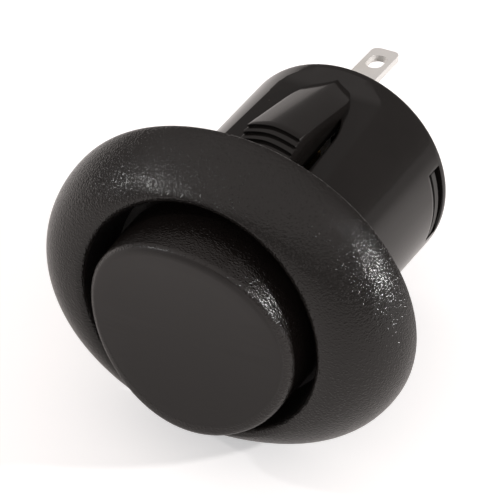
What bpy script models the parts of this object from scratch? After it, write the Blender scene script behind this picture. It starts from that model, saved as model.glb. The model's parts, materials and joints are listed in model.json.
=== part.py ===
# Round snap-in rocker switch, single pole on-off, with an oval domed bezel.
# The switch axis lies along Y: the rocker faces -Y, the solder tags point to +Y and the
# rocker turns about an axis along X. The origin is on the switch axis, in the plane of the
# bezel's underside, where the switch seats on its panel. Units are metres.

import math

import bmesh
import bpy
from mathutils import Matrix, Vector

MM = 0.001

# Fits
FIT_GAP = 0.30 * MM            # between faces that touch
SLIDE_GAP = 0.25 * MM          # between the base and the tube, and round the rivets
RIVET_GAP = 0.15 * MM          # between a rivet's heads and the strip it holds

# Bezel
BEZEL_HALF_WIDTH = 20.1 * MM   # along X
BEZEL_HALF_HEIGHT = 17.5 * MM  # along Z
BEZEL_RISE = 7.05 * MM         # seat plane to crest, on average
BEZEL_RISE_SWING = 0.4 * MM    # the crest is this much higher at +-X and lower at +-Z
BEZEL_FULLNESS = 1.6           # exponent of the dome's section: 2 is an ellipse
BEZEL_FULLNESS_SWING = 0.4     # fuller at +-X, leaner at +-Z
BEZEL_EDGE = 0.5 * MM          # upright edge between seat and dome
BEZEL_EDGE_ROUND = 0.25 * MM
CORING_INNER_SHARE = 0.385     # of the way from the tube to the bezel's outline
CORING_OUTER_SHARE = 0.71
CORING_DEPTH = 3.4 * MM

# Tube
TUBE_FRONT_RADIUS = 11.65 * MM
TUBE_FLARE = 0.65 * MM         # the tube widens by this to the rear
TUBE_REAR_RADIUS = TUBE_FRONT_RADIUS + TUBE_FLARE
TUBE_LENGTH = 24.5 * MM        # seat plane to rear face
TUBE_EDGE_ROUND = 0.25 * MM
TUBE_WALL = 1.35 * MM
CAVITY_RADIUS = TUBE_FRONT_RADIUS - TUBE_WALL
FLAT_SHARE = 0.8155            # of the tube's front radius
FLAT_HEIGHT = FLAT_SHARE * TUBE_FRONT_RADIUS  # axis to flat at the seat plane
FLAT_SLOPE = 0.058             # the flats rise towards the rear
FLAT_REAR_MARGIN = 3.6 * MM
FLAT_END = TUBE_LENGTH - FLAT_REAR_MARGIN     # where a flat starts to run out
FLAT_RUN_OUT = 2.8 * MM
FLAT_WALL = 1.2 * MM

# Well round the rocker
WELL_STEP = 0.55 * MM          # the well's floor is this much wider than the tube
WELL_FLOOR_RADIUS = TUBE_FRONT_RADIUS + WELL_STEP
WELL_FLOOR_THICK = 1.4 * MM
WELL_DRAFT = 0.55 * MM         # the well opens by this much to the front
LIP_ROLL = 0.85 * MM
CREST_RADIUS = WELL_FLOOR_RADIUS + WELL_DRAFT + LIP_ROLL

# Snap clips
CLIP_HALF_WIDTH = 2.9 * MM
CLIP_STAND = 1.4 * MM          # the clip's front corner stands this far out from the tube
CLIP_TOP = TUBE_FRONT_RADIUS + CLIP_STAND
CLIP_CROWN = 0.65 * MM
CLIP_FRONT = 8.5 * MM          # seat plane to the front corner
CLIP_CROWN_FRONT = 1.7         # exponent of the crown's section: 1 is a roof, 2 is round
CLIP_CROWN_REAR = 1.0
CLIP_END_MARGIN = 1.5 * MM
CLIP_END = TUBE_LENGTH - CLIP_END_MARGIN  # the clip's back has run into the tube before this
CLIP_FALL = 2.42 * MM          # from the front corner to the end
CLIP_SLOPE = CLIP_FALL / (CLIP_END - CLIP_FRONT)
CLIP_STEPS = 7
CLIP_STEP_RUN = 0.85 * MM
CLIP_STEP_DROP = 0.36 * MM
CLIP_SLOT = 1.0 * MM
CLIP_TIP = 2.3 * MM            # seat plane to the free end
CLIP_ROOT_MARGIN = 7.0 * MM
CLIP_ROOT = TUBE_LENGTH - CLIP_ROOT_MARGIN    # end of the side slots
CLIP_CORING_MARGIN = 3.0 * MM
CLIP_CORING_END = CLIP_ROOT - CLIP_CORING_MARGIN
CLIP_SKIN = 1.3 * MM

# Latch windows
WINDOW_HALF = 4.1 * MM
WINDOW_LENGTH = 2.3 * MM
WINDOW_RIM = 0.9 * MM
WINDOW_REAR = TUBE_LENGTH - WINDOW_RIM
WINDOW_FRONT = WINDOW_REAR - WINDOW_LENGTH

# Rocker
PIVOT_BACK = 1.6 * MM          # seat plane to pivot axis
PIVOT_PIN_RADIUS = 1.2 * MM
PIVOT_PIN_GAP = 0.08 * MM
ROCKER_TILT = math.radians(3.0)
FACE_REACH = 10.65 * MM        # pivot axis to the middle of the face
SKIRT_GAP = 0.7 * MM
SKIRT_RADIUS = WELL_FLOOR_RADIUS - SKIRT_GAP
SKIRT_REACH = 4.2 * MM         # pivot axis to the skirt's rim
CAP_DRAFT = 0.3 * MM
FACE_RADIUS = SKIRT_RADIUS - CAP_DRAFT
FACE_DISH = 1.7 * MM           # the face's top and bottom edges stand out this far
FACE_ROUND = 1.0 * MM
CAP_WALL = 1.5 * MM
EAR_HALF_WIDTH = 2.6 * MM
EAR_THICK = 1.5 * MM
EAR_GAP = 0.45 * MM            # ear to tube wall, on the pivot axis
BORE_RADIUS = 1.6 * MM
PLUNGER_GAP = 0.1 * MM         # between the plunger and its bore
SPRING_TUBE_WALL = 0.7 * MM
RIB_THICK = 1.0 * MM
RIB_REACH = 2.6 * MM           # pivot axis to the free edge of the ribs

# Terminal base
BASE_THICK = 4.0 * MM
BASE_RECESS = 0.3 * MM
BASE_FRONT = TUBE_LENGTH - BASE_RECESS - BASE_THICK
BARB_HEIGHT = 1.6 * MM         # above the wall of the cavity
BARB_RADIUS = CAVITY_RADIUS + BARB_HEIGHT
BARB_LENGTH = 0.8 * MM
BARB_RAMP = 0.5 * MM
BARB_PLAY = 0.9 * MM           # ledge of a barb to the window's rear edge
POST_WALL = 1.3 * MM
CENTRE_POST_REACH = 4.0 * MM
POST_ROOT = 0.5 * MM           # how far a post runs into the base
IDLE_STOP_HALF_WIDTH = 2.4 * MM
IDLE_STOP_DEPTH = 2.2 * MM

# Terminals
TAG_THICK = 0.8 * MM
TAG_HALF_WIDTH = 1.6 * MM
TAG_REACH = 10.8 * MM          # rear face of the tube to the tags' ends
TAG_END = TUBE_LENGTH + TAG_REACH
TAG_HOLE_RADIUS = 0.95 * MM
TAG_HOLE_LENGTH = 2.9 * MM
TAG_HOLE_FROM_END = 2.9 * MM
TAG_CORNER = 0.8 * MM
TAG_SHOULDER_HALF_WIDTH = 2.1 * MM
TAG_SHOULDER_REACH = 3.9 * MM
TAG_SHOULDER_END = TUBE_LENGTH + TAG_SHOULDER_REACH
LOAD_TAG_DROP = 0.52 * MM      # cavity's flat, at the base's front, to the top of the load tag
LOAD_TAG_TOP = FLAT_HEIGHT + FLAT_SLOPE * BASE_FRONT - FLAT_WALL - LOAD_TAG_DROP
CONTACT_PLATE_SHARE = 0.503
CONTACT_PLATE_DROP = CONTACT_PLATE_SHARE * LOAD_TAG_TOP  # length of the plate with the fixed contact
HORN_WIDTH = 0.9 * MM
HORN_RISE = 0.9 * MM
CRADLE_DEPTH = 2.4 * MM
CRADLE_TAPER = 0.8 * MM

# Contact blade and contacts
BLADE_TO_BASE = 6.9 * MM
BLADE_AXIS_BACK = BASE_FRONT - BLADE_TO_BASE  # seat plane to the fulcrum
BLADE_THICK = 0.5 * MM
BLADE_HALF_WIDTH = 2.2 * MM
BLADE_BEND = math.radians(4.0)
BLADE_TILT = math.radians(7.0)
CONTACT_BELOW_TAG = 2.55 * MM
CONTACT_ARM = LOAD_TAG_TOP - CONTACT_BELOW_TAG  # fulcrum to contact, along the blade
CONTACT_OVERHANG = 1.8 * MM
BLADE_CONTACT_ARM = CONTACT_ARM + CONTACT_OVERHANG
IDLE_OVERHANG = 1.0 * MM
BLADE_IDLE_ARM = CONTACT_ARM + IDLE_OVERHANG
CONTACT_RADIUS = 1.25 * MM
CONTACT_HEIGHT = 0.7 * MM
RIVET_SHANK = 0.5 * MM
RIVET_UPSET_RADIUS = 0.85 * MM
RIVET_UPSET_HEIGHT = 0.3 * MM

# Plunger and its spring
PLUNGER_TIP_GAP = 0.2 * MM     # tip to blade
PLUNGER_TIP = BLADE_AXIS_BACK - BLADE_THICK - PLUNGER_TIP_GAP - PIVOT_BACK  # from the pivot axis
PLUNGER_SEAT_SHARE = 0.11
PLUNGER_BACK = PLUNGER_SEAT_SHARE * PLUNGER_TIP  # pivot axis to the seat of the spring
SPRING_TUBE_SHARE = 0.42
SPRING_TUBE_END = SPRING_TUBE_SHARE * PLUNGER_TIP  # pivot axis to the open end of the spring tube
SPRING_WIRE = 0.2 * MM         # radius of the wire
SPRING_TURNS = 9

ROUND_STEPS = 96
FINE_STEPS = 32


# Scene, materials and small helpers

def clear_scene():
    for obj in list(bpy.data.objects):
        bpy.data.objects.remove(obj, do_unlink=True)
    for mesh in list(bpy.data.meshes):
        bpy.data.meshes.remove(mesh)


def new_collection(name):
    collection = bpy.data.collections.new(name)
    bpy.context.scene.collection.children.link(collection)
    return collection


def make_material(name, color, roughness, metallic=0.0):
    material = bpy.data.materials.new(name)
    material.use_nodes = True
    shader = material.node_tree.nodes["Principled BSDF"]
    shader.inputs["Base Color"].default_value = (*color, 1.0)
    shader.inputs["Roughness"].default_value = roughness
    shader.inputs["Metallic"].default_value = metallic
    material.diffuse_color = (*color, 1.0)
    return material


def link_mesh(name, bm, collection, material=None):
    bmesh.ops.recalc_face_normals(bm, faces=bm.faces)
    mesh = bpy.data.meshes.new(name)
    bm.to_mesh(mesh)
    bm.free()
    obj = bpy.data.objects.new(name, mesh)
    collection.objects.link(obj)
    if material is not None:
        mesh.materials.append(material)
    return obj


def as_cutter(obj):
    obj.hide_render = True
    obj.display_type = 'WIRE'
    return obj


def smooth(obj, angle=math.radians(35)):
    obj.data.shade_smooth()
    obj.data.set_sharp_from_angle(angle=angle)


def boolean(target, other, operation):
    modifier = target.modifiers.new(operation.title() + " " + other.name, 'BOOLEAN')
    modifier.operation = operation
    modifier.solver = 'EXACT'
    modifier.object = other
    return modifier


def box(name, low, high, collection, material=None):
    bm = bmesh.new()
    size = Vector(high) - Vector(low)
    centre = (Vector(high) + Vector(low)) / 2
    matrix = Matrix.Translation(centre) @ Matrix.Diagonal((*size, 1.0))
    bmesh.ops.create_cube(bm, size=1.0, matrix=matrix)
    return link_mesh(name, bm, collection, material)


def rod(name, radius, start, end, collection, material=None, steps=FINE_STEPS):
    """A cylinder from start to end."""
    start = Vector(start)
    end = Vector(end)
    axis = end - start
    turn = Vector((0, 0, 1)).rotation_difference(axis).to_matrix().to_4x4()
    bm = bmesh.new()
    bmesh.ops.create_cone(bm, cap_ends=True, segments=steps, radius1=radius, radius2=radius,
                          depth=axis.length, matrix=Matrix.Translation((start + end) / 2) @ turn)
    return link_mesh(name, bm, collection, material)


def lathe(name, profile, collection, material=None, steps=ROUND_STEPS):
    """Turns (radius, y) points, listed from the front pole to the rear pole, about Y."""
    bm = bmesh.new()
    verts = [bm.verts.new((radius, y, 0.0)) for radius, y in profile]
    edges = [bm.edges.new(pair) for pair in zip(verts, verts[1:])]
    bmesh.ops.spin(bm, geom=verts + edges, cent=(0, 0, 0), axis=(0, 1, 0),
                   angle=math.tau, steps=steps, use_merge=True, use_duplicate=False)
    bmesh.ops.remove_doubles(bm, verts=bm.verts, dist=1e-6)
    return link_mesh(name, bm, collection, material)


def loft(name, sections, collection, material=None, closed=False):
    """Skins a row of sections that have the same number of points."""
    bm = bmesh.new()
    rows = [[bm.verts.new(point) for point in section] for section in sections]
    pairs = list(zip(rows, rows[1:]))
    if closed:
        pairs.append((rows[-1], rows[0]))
    for first, second in pairs:
        for i in range(len(first)):
            j = (i + 1) % len(first)
            bm.faces.new((first[i], first[j], second[j], second[i]))
    if not closed:
        bm.faces.new(rows[0])
        bm.faces.new(rows[-1])
    return link_mesh(name, bm, collection, material)


def plate(name, outline, thickness, collection, material=None, holes=()):
    """A flat plate: a filled 2D curve through outline, extruded, lying in its local XY plane."""
    curve = bpy.data.curves.new(name, 'CURVE')
    curve.dimensions = '2D'
    curve.fill_mode = 'BOTH'
    curve.extrude = thickness / 2
    for points in (outline, *holes):
        spline = curve.splines.new('POLY')
        spline.points.add(len(points) - 1)
        for point, (x, y) in zip(spline.points, points):
            point.co = (x, y, 0.0, 1.0)
        spline.use_cyclic_u = True
    obj = bpy.data.objects.new(name, curve)
    collection.objects.link(obj)
    if material is not None:
        curve.materials.append(material)
    return obj


def to_mesh(curve_obj):
    """Replaces a curve object by a welded mesh object of the same name and place."""
    bpy.context.view_layer.update()
    name = curve_obj.name
    collection = curve_obj.users_collection[0]
    depsgraph = bpy.context.evaluated_depsgraph_get()
    mesh = bpy.data.meshes.new_from_object(curve_obj.evaluated_get(depsgraph))
    matrix = curve_obj.matrix_world.copy()
    bpy.data.objects.remove(curve_obj, do_unlink=True)
    bm = bmesh.new()
    bm.from_mesh(mesh)
    bmesh.ops.remove_doubles(bm, verts=bm.verts, dist=1e-6)
    bmesh.ops.recalc_face_normals(bm, faces=bm.faces)
    bm.to_mesh(mesh)
    bm.free()
    obj = bpy.data.objects.new(name, mesh)
    obj.matrix_world = matrix
    collection.objects.link(obj)
    return obj


def arc(cx, cy, radius, start, end, steps):
    """Points on an arc; the angles are in degrees."""
    points = []
    for i in range(steps + 1):
        angle = math.radians(start + (end - start) * i / steps)
        points.append((cx + radius * math.cos(angle), cy + radius * math.sin(angle)))
    return points


def flat_height(y):
    return FLAT_HEIGHT + FLAT_SLOPE * y


def flat_profile(steps=6):
    """(y, z) of a flat, with the curve in which it runs out to the tube's full width."""
    points = [(0.0, flat_height(0.0))]
    rise = TUBE_REAR_RADIUS + 0.1 * MM - flat_height(FLAT_END + FLAT_RUN_OUT)
    for i in range(steps + 1):
        share = i / steps
        y = FLAT_END + FLAT_RUN_OUT * share
        points.append((y, flat_height(y) + rise * share ** 2.2))
    return points


# Housing: bezel, tube and snap clips in one moulding

def oval(angle):
    """Distance from the axis to the bezel's outline, along an angle from +X."""
    a = BEZEL_HALF_WIDTH
    b = BEZEL_HALF_HEIGHT
    return a * b / math.hypot(b * math.cos(angle), a * math.sin(angle))


def coring_radii(angle):
    """Inner and outer radius of the groove under the bezel."""
    overhang = oval(angle) - TUBE_FRONT_RADIUS
    return [TUBE_FRONT_RADIUS + share * overhang for share in (CORING_INNER_SHARE, CORING_OUTER_SHARE)]


def dome_point(angle, turn):
    """(radius, y) on the dome: turn goes from 0 at the crest to a right angle at its foot."""
    swing = math.cos(2 * angle)
    rise = BEZEL_RISE + BEZEL_RISE_SWING * swing
    power = 2 / (BEZEL_FULLNESS + BEZEL_FULLNESS_SWING * swing)
    radius = CREST_RADIUS + (oval(angle) - CREST_RADIUS) * math.sin(turn) ** power
    return radius, -BEZEL_EDGE - (rise - BEZEL_EDGE) * max(math.cos(turn), 0.0) ** power


def housing_section(angle):
    """Points (radius, y) of the housing's outer skin, from the well's floor to the rear face."""
    outer = oval(angle)
    crest = dome_point(angle, 0.0)[1]
    points = [(WELL_FLOOR_RADIUS, -WELL_FLOOR_THICK)]
    for i in range(5):
        turn = math.radians(90 * i / 5)
        points.append((CREST_RADIUS - LIP_ROLL * math.cos(turn), crest + LIP_ROLL * (1 - math.sin(turn))))
    points.extend(dome_point(angle, math.radians(90 * i / 11)) for i in range(12))
    points.append((outer, -BEZEL_EDGE_ROUND))
    points.append((outer - 0.3 * BEZEL_EDGE_ROUND, -0.3 * BEZEL_EDGE_ROUND))
    points.append((outer - BEZEL_EDGE_ROUND, 0.0))
    groove_in, groove_out = coring_radii(angle)
    points.append((groove_out, 0.0))
    points.append((groove_in + 0.8 * (groove_out - groove_in), -CORING_DEPTH))
    points.append((groove_in, -CORING_DEPTH))
    points.append((groove_in, 0.0))
    points.append((TUBE_FRONT_RADIUS, 0.0))
    points.append((TUBE_REAR_RADIUS, TUBE_LENGTH - TUBE_EDGE_ROUND))
    points.append((TUBE_REAR_RADIUS - 0.3 * TUBE_EDGE_ROUND, TUBE_LENGTH - 0.3 * TUBE_EDGE_ROUND))
    points.append((TUBE_REAR_RADIUS - TUBE_EDGE_ROUND, TUBE_LENGTH))
    return points


def make_housing_skin(collection, material):
    columns = []
    for i in range(ROUND_STEPS):
        angle = math.tau * i / ROUND_STEPS
        columns.append([(radius * math.cos(angle), y, radius * math.sin(angle))
                        for radius, y in housing_section(angle)])
    sections = [list(section) for section in zip(*columns)]
    return loft("housing", sections, collection, material)


def make_flat_cutter(side, cutters):
    """A block that leaves the tube with one sloping flat."""
    reach = TUBE_REAR_RADIUS + 2 * MM
    edge = flat_profile()
    outline = edge + [(edge[-1][0], reach), (0.0, reach)]
    sections = [[(x, y, side * z) for y, z in outline] for x in (-reach, reach)]
    return as_cutter(loft("flat_cutter", sections, cutters))


def cavity_flat(y):
    return flat_height(y) - FLAT_WALL


def make_cavity_cutter(cutters):
    """The space inside the tube: round, with two sloping flats."""
    front = -WELL_FLOOR_THICK - 1 * MM
    rear = TUBE_LENGTH + 1 * MM
    radius = CAVITY_RADIUS
    core = rod("cavity_cutter", radius, (0, front, 0), (0, rear, 0), cutters, steps=ROUND_STEPS)
    start = front - MM
    end = rear + MM
    outline = [(start, -cavity_flat(start)), (end, -cavity_flat(end)),
               (end, cavity_flat(end)), (start, cavity_flat(start))]
    sections = [[(x, y, z) for y, z in outline] for x in (-2 * radius, 2 * radius)]
    slab = as_cutter(loft("cavity_slab", sections, cutters))
    boolean(core, slab, 'INTERSECT')
    return as_cutter(core)


def clip_profile():
    """(y, z) of the clip's outer edge, from behind the tube's flat to the free end."""
    points = [(CLIP_END, CLIP_TOP - CLIP_SLOPE * (CLIP_END - CLIP_FRONT)), (CLIP_FRONT, CLIP_TOP)]
    y = CLIP_FRONT
    z = CLIP_TOP
    for _ in range(CLIP_STEPS):
        z -= CLIP_STEP_DROP
        points.append((y, z))
        y -= CLIP_STEP_RUN
        points.append((y, z))
    points[-1] = (CLIP_TIP, z)
    return points


def clip_section(y, z, side, foot, half_width, steps=8):
    """A section with an upright wall on each side and a crowned top: round in front, a ridge at the back."""
    back = max(y - CLIP_FRONT, 0.0) / (CLIP_END - CLIP_FRONT)
    power = CLIP_CROWN_FRONT + (CLIP_CROWN_REAR - CLIP_CROWN_FRONT) * back
    points = [(-half_width, y, side * foot)]
    for i in range(steps + 1):
        x = half_width * (2 * i / steps - 1)
        rise = CLIP_CROWN * (1 - abs(x / half_width) ** power)
        points.append((x, y, side * (z + rise)))
    points.append((half_width, y, side * foot))
    return points


def make_clip(side, cutters):
    """A closed solid: stepped and crowned on top, with one flat wall on each side."""
    bm = bmesh.new()
    tops = []
    feet = []
    for y, z in clip_profile():
        foot = cavity_flat(min(y, CLIP_ROOT)) + 0.3 * FLAT_WALL
        points = clip_section(y, z, side, foot, CLIP_HALF_WIDTH)
        if not feet or abs(feet[-1][0].co.y - y) > 1e-7:  # both edges of a step stand on one foot
            feet.append((bm.verts.new(points[0]), bm.verts.new(points[-1])))
        tops.append([bm.verts.new(point) for point in points[1:-1]])
    for first, second in zip(tops, tops[1:]):
        for i in range(len(first) - 1):
            bm.faces.new((first[i], first[i + 1], second[i + 1], second[i]))
    for first, second in zip(feet, feet[1:]):
        bm.faces.new((first[0], first[1], second[1], second[0]))
    for end in (0, -1):
        bm.faces.new([feet[end][0], *tops[end], feet[end][1]])
    for edge in (0, -1):
        bm.faces.new([foot[edge] for foot in feet] + [top[edge] for top in reversed(tops)])
    return as_cutter(link_mesh("clip", bm, cutters))


def make_clip_coring(side, cutters):
    """The hollow under the clip, open to the inside of the tube."""
    half_width = CLIP_HALF_WIDTH - CLIP_SKIN
    front = CLIP_FRONT - CLIP_STEP_RUN
    rear = CLIP_CORING_END
    depth = CLIP_SKIN - CLIP_CROWN / 2
    sections = []
    for y in (front, CLIP_FRONT + 0.6 * MM, rear):
        top = CLIP_TOP - CLIP_SLOPE * max(y - CLIP_FRONT, 0) - depth
        if y < CLIP_FRONT:
            top -= 2 * CLIP_STEP_DROP
        low = cavity_flat(y) - MM
        sections.append([(-half_width, y, side * low), (half_width, y, side * low),
                         (half_width, y, side * top), (-half_width, y, side * top)])
    return as_cutter(loft("clip_coring", sections, cutters))


def make_clip_slots(side, cutters):
    """A U-shaped slot that frees the clip's front end."""
    inner = CLIP_HALF_WIDTH
    outer = CLIP_HALF_WIDTH + CLIP_SLOT
    front = CLIP_TIP - CLIP_SLOT
    outline = [(-outer, front), (outer, front), (outer, CLIP_ROOT), (inner, CLIP_ROOT), (inner, CLIP_TIP),
               (-inner, CLIP_TIP), (-inner, CLIP_ROOT), (-outer, CLIP_ROOT)]
    low = cavity_flat(0) - 1.5 * MM
    high = CLIP_TOP + MM
    cutter = plate("clip_slots", outline, high - low, cutters)
    cutter.location.z = side * (low + high) / 2
    return as_cutter(to_mesh(cutter))


def make_window_cutter(side, cutters):
    inner = CAVITY_RADIUS - 1.2 * MM
    outer = TUBE_REAR_RADIUS + 1 * MM
    low_x = min(side * inner, side * outer)
    high_x = max(side * inner, side * outer)
    cutter = box("window_cutter", (low_x, WINDOW_FRONT, -WINDOW_HALF),
                 (high_x, WINDOW_REAR, WINDOW_HALF), cutters)
    return as_cutter(cutter)


def make_housing(collection, cutters, material):
    housing = make_housing_skin(collection, material)
    for side in (1, -1):
        boolean(housing, make_flat_cutter(side, cutters), 'DIFFERENCE')
    boolean(housing, make_cavity_cutter(cutters), 'DIFFERENCE')
    for side in (1, -1):
        boolean(housing, make_clip(side, cutters), 'UNION')
    for side in (1, -1):
        boolean(housing, make_clip_coring(side, cutters), 'DIFFERENCE')
        boolean(housing, make_clip_slots(side, cutters), 'DIFFERENCE')
        boolean(housing, make_window_cutter(side, cutters), 'DIFFERENCE')
    reach = TUBE_REAR_RADIUS
    socket = rod("pivot_socket", PIVOT_PIN_RADIUS + PIVOT_PIN_GAP,
                 (-reach, PIVOT_BACK, 0), (reach, PIVOT_BACK, 0), cutters)
    boolean(housing, as_cutter(socket), 'DIFFERENCE')
    smooth(housing)
    return housing


# Rocker: cap, pivot ears and spring tube in one moulding
# It is modelled about its pivot axis at mid travel, and its parent empty tilts it.

def dish(x, z, radius):
    """How far the face stands out beyond its middle."""
    return FACE_DISH * min((z / radius) ** 2, 1.0)


def cap_profile():
    """(radius, y) of the cap's outside from the face's middle to the skirt's rim."""
    flat_radius = FACE_RADIUS - FACE_ROUND
    points = [(flat_radius * i / 8, -FACE_REACH) for i in range(9)]
    for i in range(1, 6):
        turn = math.radians(90 * i / 5)
        points.append((flat_radius + FACE_ROUND * math.sin(turn),
                       -FACE_REACH + FACE_ROUND * (1 - math.cos(turn))))
    points.append((SKIRT_RADIUS, -SKIRT_REACH))
    inside = CAP_WALL
    points.append((SKIRT_RADIUS - inside, -SKIRT_REACH))
    points.append((FACE_RADIUS - inside, -FACE_REACH + FACE_ROUND + inside))
    points.append((FACE_RADIUS - 1.6 * inside, -FACE_REACH + inside))
    points.extend(((FACE_RADIUS - 1.6 * inside) * i / 4, -FACE_REACH + inside) for i in (3, 2, 1, 0))
    return points


def make_cap(collection, material):
    cap = lathe("rocker", cap_profile(), collection, material)
    upper = -FACE_REACH + FACE_ROUND + CAP_WALL
    for vertex in cap.data.vertices:
        x, y, z = vertex.co
        rise = min((SKIRT_REACH + y) / (SKIRT_REACH + upper), 1.0)
        vertex.co.y -= dish(x, z, FACE_RADIUS) * max(rise, 0.0)
    return cap


def ear_outline():
    """(y, z) of a pivot ear: square at the cap and round about the pivot."""
    top = -FACE_REACH + 0.6 * CAP_WALL
    points = [(top, -EAR_HALF_WIDTH)]
    points.extend(arc(0, 0, EAR_HALF_WIDTH, -90, 90, 16))
    points.append((top, EAR_HALF_WIDTH))
    return points


def make_ear(side, cutters):
    outer = CAVITY_RADIUS - EAR_GAP
    ear = plate("ear", ear_outline(), EAR_THICK, cutters)
    turn = Matrix(((0, 0, 1), (1, 0, 0), (0, 1, 0))).to_4x4()
    ear.matrix_world = Matrix.Translation((side * (outer - EAR_THICK / 2), 0, 0)) @ turn
    return as_cutter(to_mesh(ear))


def make_rocker(collection, cutters, material, pivot):
    rocker = make_cap(collection, material)
    top = -FACE_REACH + 0.6 * CAP_WALL
    outer = CAVITY_RADIUS - EAR_GAP
    pieces = [make_ear(side, cutters) for side in (1, -1)]
    for side in (1, -1):
        pieces.append(rod("pivot_pin", PIVOT_PIN_RADIUS, (side * (outer - 0.6 * EAR_THICK), 0, 0),
                          (side * (TUBE_FRONT_RADIUS - FIT_GAP), 0, 0), cutters))
    pieces.append(rod("spring_tube", BORE_RADIUS + SPRING_TUBE_WALL,
                      (0, top, 0), (0, SPRING_TUBE_END, 0), cutters))
    for side in (1, -1):
        inner = BORE_RADIUS + 0.5 * SPRING_TUBE_WALL
        edge = outer - 0.6 * EAR_THICK
        low_x = min(side * inner, side * edge)
        high_x = max(side * inner, side * edge)
        pieces.append(box("rib", (low_x, top, -RIB_THICK / 2), (high_x, -RIB_REACH, RIB_THICK / 2), cutters))
    for piece in pieces:
        boolean(rocker, as_cutter(piece), 'UNION')
        piece.parent = pivot
    bore = rod("spring_bore", BORE_RADIUS, (0, -FACE_REACH + CAP_WALL + 0.1 * MM, 0),
               (0, SPRING_TUBE_END + MM, 0), cutters)
    bore.parent = pivot
    boolean(rocker, as_cutter(bore), 'DIFFERENCE')
    rocker.parent = pivot
    smooth(rocker)
    return rocker


def make_plunger(collection, material, pivot):
    radius = BORE_RADIUS - PLUNGER_GAP
    profile = [(0.0, PLUNGER_BACK), (radius - 0.2 * MM, PLUNGER_BACK), (radius, PLUNGER_BACK + 0.2 * MM)]
    nose = PLUNGER_TIP - radius
    for i in range(9):
        turn = math.radians(90 * i / 8)
        profile.append((radius * math.cos(turn), nose + radius * math.sin(turn)))
    plunger = lathe("plunger", profile, collection, material, steps=FINE_STEPS)
    plunger.parent = pivot
    smooth(plunger)
    return plunger


def make_plunger_spring(collection, material, pivot):
    start = -FACE_REACH + CAP_WALL + 0.1 * MM + FIT_GAP + SPRING_WIRE
    end = PLUNGER_BACK - FIT_GAP - SPRING_WIRE
    radius = BORE_RADIUS - 2 * PLUNGER_GAP - SPRING_WIRE
    per_turn = 12
    count = SPRING_TURNS * per_turn
    curve = bpy.data.curves.new("plunger_spring", 'CURVE')
    curve.dimensions = '3D'
    curve.bevel_depth = SPRING_WIRE
    curve.bevel_resolution = 2
    curve.use_fill_caps = True
    spline = curve.splines.new('POLY')
    spline.points.add(count)
    for i, point in enumerate(spline.points):
        angle = math.tau * i / per_turn
        y = start + (end - start) * i / count
        point.co = (radius * math.cos(angle), y, radius * math.sin(angle), 1.0)
    curve.materials.append(material)
    spring = bpy.data.objects.new("plunger_spring", curve)
    collection.objects.link(spring)
    spring.parent = pivot
    return spring


# Contact blade: a see-saw strip that rocks on the line terminal
# It is modelled about the fulcrum at mid travel, and its parent empty tilts it.

def blade_outline():
    """(y, z) of the bent strip, with its bend at the fulcrum."""
    contact_end = (BLADE_CONTACT_ARM * math.sin(BLADE_BEND), BLADE_CONTACT_ARM * math.cos(BLADE_BEND))
    idle_end = (BLADE_IDLE_ARM * math.sin(BLADE_BEND), -BLADE_IDLE_ARM * math.cos(BLADE_BEND))
    out_y = BLADE_THICK * math.cos(BLADE_BEND)
    out_z = BLADE_THICK * math.sin(BLADE_BEND)
    return [(0.0, 0.0), contact_end, (contact_end[0] - out_y, contact_end[1] + out_z),
            (-BLADE_THICK, 0.0), (idle_end[0] - out_y, idle_end[1] - out_z), idle_end]


def make_blade(collection, cutters, material, fulcrum):
    turn = Matrix(((0, 0, 1), (1, 0, 0), (0, 1, 0))).to_4x4()
    strip = plate("contact_blade", blade_outline(), 2 * BLADE_HALF_WIDTH, collection)
    strip.matrix_world = turn
    blade = to_mesh(strip)
    blade.data.transform(blade.matrix_world)
    blade.matrix_world = Matrix.Identity(4)
    blade.data.materials.clear()
    blade.data.materials.append(material)
    middle, outward = contact_place()
    hole = rod("rivet_hole", RIVET_SHANK + SLIDE_GAP,
               middle - 2 * MM * outward, middle + 2 * MM * outward, cutters)
    hole.parent = fulcrum
    boolean(blade, as_cutter(hole), 'DIFFERENCE')
    bevel = blade.modifiers.new("Bevel", 'BEVEL')
    bevel.width = 0.08 * MM
    bevel.segments = 1
    bevel.limit_method = 'ANGLE'
    bevel.angle_limit = math.radians(60)
    blade.parent = fulcrum
    return blade


def contact_place():
    """The blade's rear face at the contact, and the outward direction there, about the fulcrum."""
    along = Vector((0, math.sin(BLADE_BEND), math.cos(BLADE_BEND)))
    outward = Vector((0, math.cos(BLADE_BEND), -math.sin(BLADE_BEND)))
    return along * CONTACT_ARM, outward


def rivet_profile(front_gap, grip):
    """(radius, y) of a domed contact rivet whose head starts at front_gap and points to +Y."""
    head = front_gap
    points = [(0.0, -grip - front_gap - RIVET_UPSET_HEIGHT),
              (RIVET_UPSET_RADIUS * 0.8, -grip - front_gap - RIVET_UPSET_HEIGHT),
              (RIVET_UPSET_RADIUS, -grip - front_gap - RIVET_UPSET_HEIGHT * 0.5),
              (RIVET_UPSET_RADIUS, -grip - front_gap), (RIVET_SHANK, -grip - front_gap),
              (RIVET_SHANK, head), (CONTACT_RADIUS, head), (CONTACT_RADIUS, head + 0.4 * CONTACT_HEIGHT)]
    for i in range(1, 5):
        turn = math.radians(90 * i / 4)
        points.append((CONTACT_RADIUS * math.cos(turn),
                       head + 0.4 * CONTACT_HEIGHT + 0.6 * CONTACT_HEIGHT * math.sin(turn)))
    points[-1] = (0.0, head + CONTACT_HEIGHT)
    return points


def make_rivet(name, place, outward, grip, collection, material):
    rivet = lathe(name, rivet_profile(RIVET_GAP, grip), collection, material, steps=24)
    turn = Vector((0, 1, 0)).rotation_difference(outward).to_matrix().to_4x4()
    rivet.data.transform(Matrix.Translation(place) @ turn)
    smooth(rivet)
    return rivet


# Terminals and their base

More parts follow.
